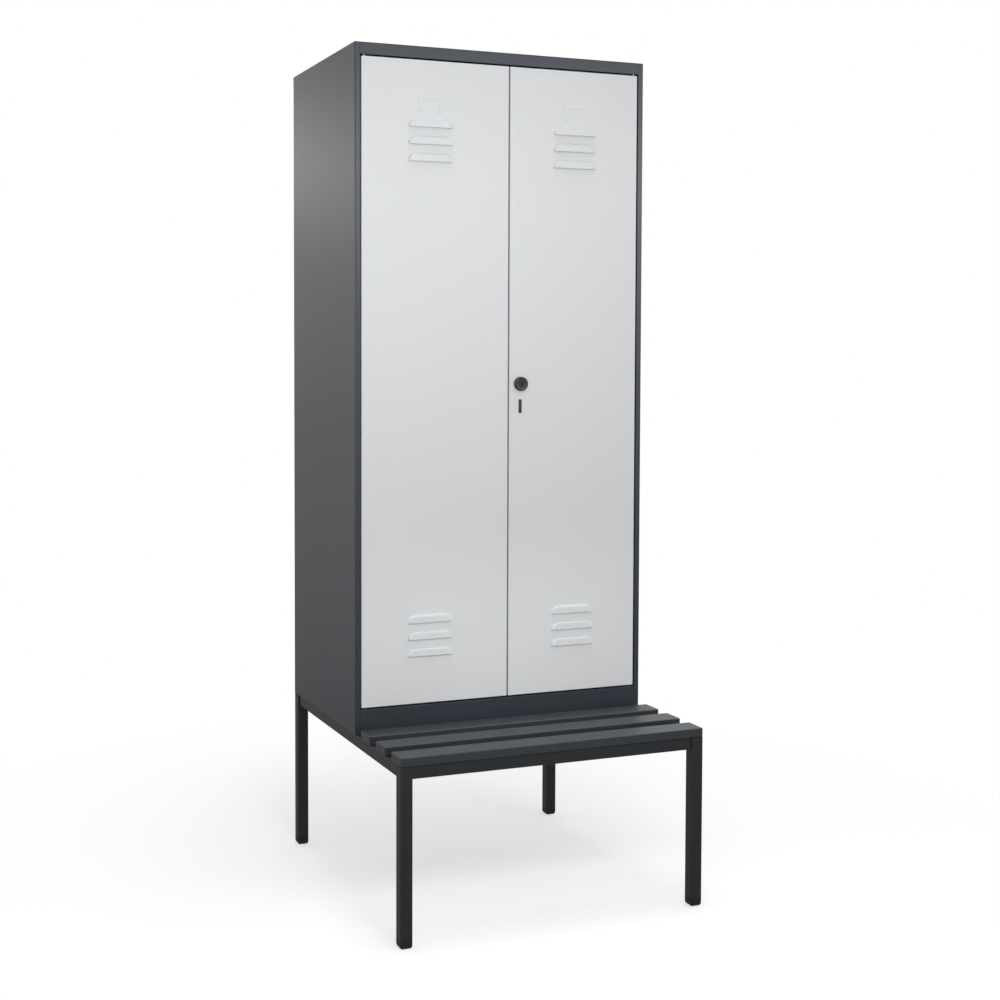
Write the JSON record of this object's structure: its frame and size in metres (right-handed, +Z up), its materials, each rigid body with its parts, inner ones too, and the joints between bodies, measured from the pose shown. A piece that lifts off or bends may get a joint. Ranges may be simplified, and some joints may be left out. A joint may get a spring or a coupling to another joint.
{
  "type": "locker with bench",
  "caption": "Double-door sheet steel clothes locker on a square tube frame whose slatted bench reaches out in front",
  "frame": {"origin": "centre of the footprint on the floor, under the whole object", "axes": "+X to the right as one faces the doors, +Y to the back of the locker, so that the doors and the bench face -Y, and +Z up"},
  "size_m": [0.8, 0.81, 2.123],
  "materials": {
    "body": "satin anthracite powder coat",
    "door": "satin light grey powder coat",
    "frame": "satin black grey powder coat",
    "slat": "smooth dark grey plastic",
    "knob": "black moulded plastic",
    "bush": "natural nylon",
    "foot": "black rubber",
    "pin": "nickel plated",
    "zinc": "bright zinc plated",
    "rail": "chromed steel tube"
  },
  "bodies": {
    "carcass": {"left_side_panel": "body", "right_side_panel": "body", "top_panel": "body", "bottom_panel": "body", "back_panel": "body", "centre_partition": "body", "left_hat_shelf": "body", "right_hat_shelf": "body", "left_garment_rail": "rail", "right_garment_rail": "rail", "door_buffer_strip": "foot", "left_upper_hinge_pin": "pin", "left_lower_hinge_pin": "pin", "right_upper_hinge_pin": "pin", "right_lower_hinge_pin": "pin", "left_front_leg": "frame", "left_rear_leg": "frame", "right_front_leg": "frame", "right_rear_leg": "frame", "left_front_foot_cap": "foot", "left_rear_foot_cap": "foot", "right_front_foot_cap": "foot", "right_rear_foot_cap": "foot", "left_side_rail": "frame", "right_side_rail": "frame", "front_rail": "frame", "middle_rail": "frame", "rear_rail": "frame", "left_front_cabinet_bolt": "zinc", "left_rear_cabinet_bolt": "zinc", "right_front_cabinet_bolt": "zinc", "right_rear_cabinet_bolt": "zinc", "front_bench_slat": "slat", "middle_bench_slat": "slat", "rear_bench_slat": "slat"},
    "left_leaf": {"left_door": "door", "left_door_stiffener": "door", "left_upper_door_bush": "bush", "left_lower_door_bush": "bush"},
    "right_leaf": {"right_door": "door", "right_door_stiffener": "door", "right_upper_door_bush": "bush", "right_lower_door_bush": "bush", "lock_body": "pin", "lock_nut": "pin", "slot_plug": "knob", "upper_rod_guide": "bush", "lower_rod_guide": "bush"},
    "knob": {"lock_knob": "knob", "lock_cam": "zinc", "cam_screw": "zinc"},
    "key_barrel": {"lock_cylinder": "pin"},
    "upper_rod": {"upper_lock_rod": "zinc"},
    "lower_rod": {"lower_lock_rod": "zinc"},
    "left_hook_1": {"left_coat_hook_1": "knob"},
    "left_hook_2": {"left_coat_hook_2": "knob"},
    "left_hook_3": {"left_coat_hook_3": "knob"},
    "right_hook_1": {"right_coat_hook_1": "knob"},
    "right_hook_2": {"right_coat_hook_2": "knob"},
    "right_hook_3": {"right_coat_hook_3": "knob"}
  },
  "joints": [
    {"name": "left_door_hinge", "type": "hinge", "parent": "carcass", "child": "left_leaf", "pos_m": [-0.3735, -0.089, 1.2895], "axis": [0, 0, -1], "range_deg": [0, 110]},
    {"name": "right_door_hinge", "type": "hinge", "parent": "carcass", "child": "right_leaf", "pos_m": [0.3735, -0.089, 1.2895], "axis": [0, 0, 1], "range_deg": [0, 110]},
    {"name": "knob_turn", "type": "hinge", "parent": "right_leaf", "child": "knob", "pos_m": [0.048, -0.095, 1.2895], "axis": [0, 1, 0], "range_deg": [0, 90]},
    {"name": "key_turn", "type": "hinge", "parent": "knob", "child": "key_barrel", "pos_m": [0.048, -0.107, 1.2895], "axis": [0, 1, 0], "range_deg": [0, 90]},
    {"name": "upper_rod_slide", "type": "slide", "parent": "right_leaf", "child": "upper_rod", "axis": [0, 0, 1], "range_m": [0, 0.01697]},
    {"name": "lower_rod_slide", "type": "slide", "parent": "right_leaf", "child": "lower_rod", "axis": [0, 0, -1], "range_m": [0, 0.01697]},
    {"name": "left_hook_1_slide", "type": "slide", "parent": "carcass", "child": "left_hook_1", "axis": [1, 0, 0], "range_m": [-0.055, 0.055]},
    {"name": "left_hook_2_slide", "type": "slide", "parent": "carcass", "child": "left_hook_2", "axis": [1, 0, 0], "range_m": [-0.055, 0.055]},
    {"name": "left_hook_3_slide", "type": "slide", "parent": "carcass", "child": "left_hook_3", "axis": [1, 0, 0], "range_m": [-0.055, 0.055]},
    {"name": "right_hook_1_slide", "type": "slide", "parent": "carcass", "child": "right_hook_1", "axis": [1, 0, 0], "range_m": [-0.055, 0.055]},
    {"name": "right_hook_2_slide", "type": "slide", "parent": "carcass", "child": "right_hook_2", "axis": [1, 0, 0], "range_m": [-0.055, 0.055]},
    {"name": "right_hook_3_slide", "type": "slide", "parent": "carcass", "child": "right_hook_3", "axis": [1, 0, 0], "range_m": [-0.055, 0.055]}
  ],
  "couplings": [
    {"joint": "knob_turn", "follows": "upper_rod_slide", "rad_per_m": 92.56},
    {"joint": "lower_rod_slide", "follows": "upper_rod_slide", "ratio": 1}
  ]
}
